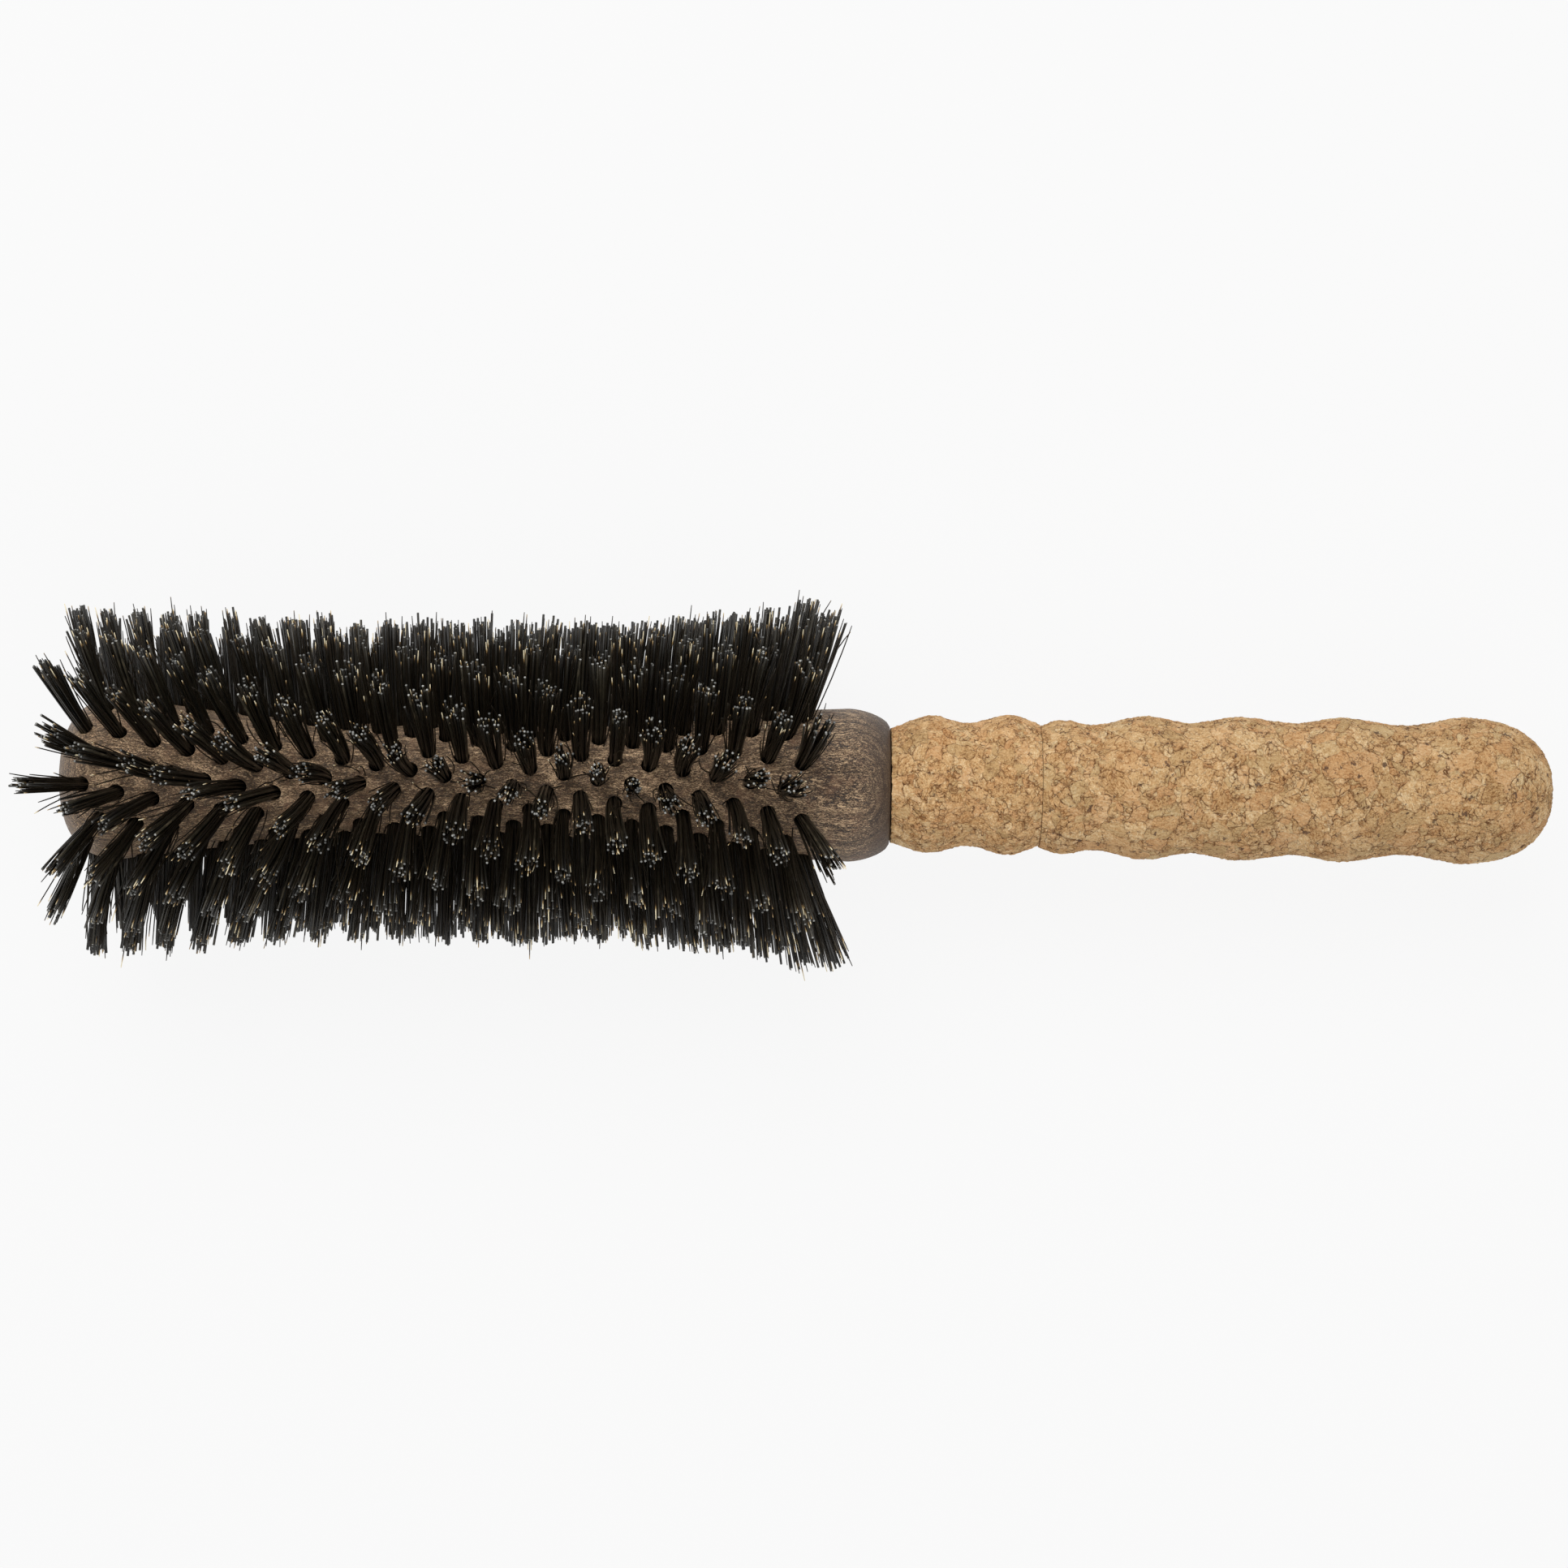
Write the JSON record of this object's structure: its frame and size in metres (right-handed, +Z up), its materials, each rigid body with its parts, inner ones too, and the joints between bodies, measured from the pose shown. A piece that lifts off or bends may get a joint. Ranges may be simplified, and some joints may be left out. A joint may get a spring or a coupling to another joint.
{
  "type": "round barrel brush",
  "caption": "Round hairbrush with a waisted wooden barrel of flaring bristle tufts and a lobed cork handle whose rear grip turns on a spindle.",
  "frame": {"origin": "under the middle of the brush's length, on the surface that the bristles lie on", "axes": "+X along the brush from the blunt wooden tip to the rounded end of the cork grip, +Z up, +Y to the right seen from behind the grip"},
  "size_m": [0.2886, 0.069, 0.0684],
  "materials": {
    "stained_wood": "satin",
    "bristle": "satin",
    "fine_cork": "matte",
    "coarse_cork": "matte",
    "dark_fibre": "matte",
    "spindle_steel": "satin",
    "spring_steel": "satin",
    "bush_plastic": "satin",
    "sleeve_aluminium": "satin"
  },
  "bodies": {
    "barrel": {"barrel_body": "stained_wood", "bristle_band_1": "bristle", "bristle_band_2": "bristle", "bristle_band_3": "bristle", "bristle_band_4": "bristle", "front_cork": "fine_cork", "thrust_washer": "dark_fibre", "spindle": "spindle_steel", "retaining_washer": "spindle_steel", "retaining_ring": "spring_steel"},
    "grip": {"cork_grip": "coarse_cork", "bearing_sleeve": "sleeve_aluminium", "front_bush": "bush_plastic", "rear_bush": "bush_plastic"}
  },
  "joints": [
    {"name": "grip_spin", "type": "hinge", "parent": "barrel", "child": "grip", "pos_m": [0.0457, 0, 0.0339], "axis": [1, 0, 0], "continuous": true}
  ]
}
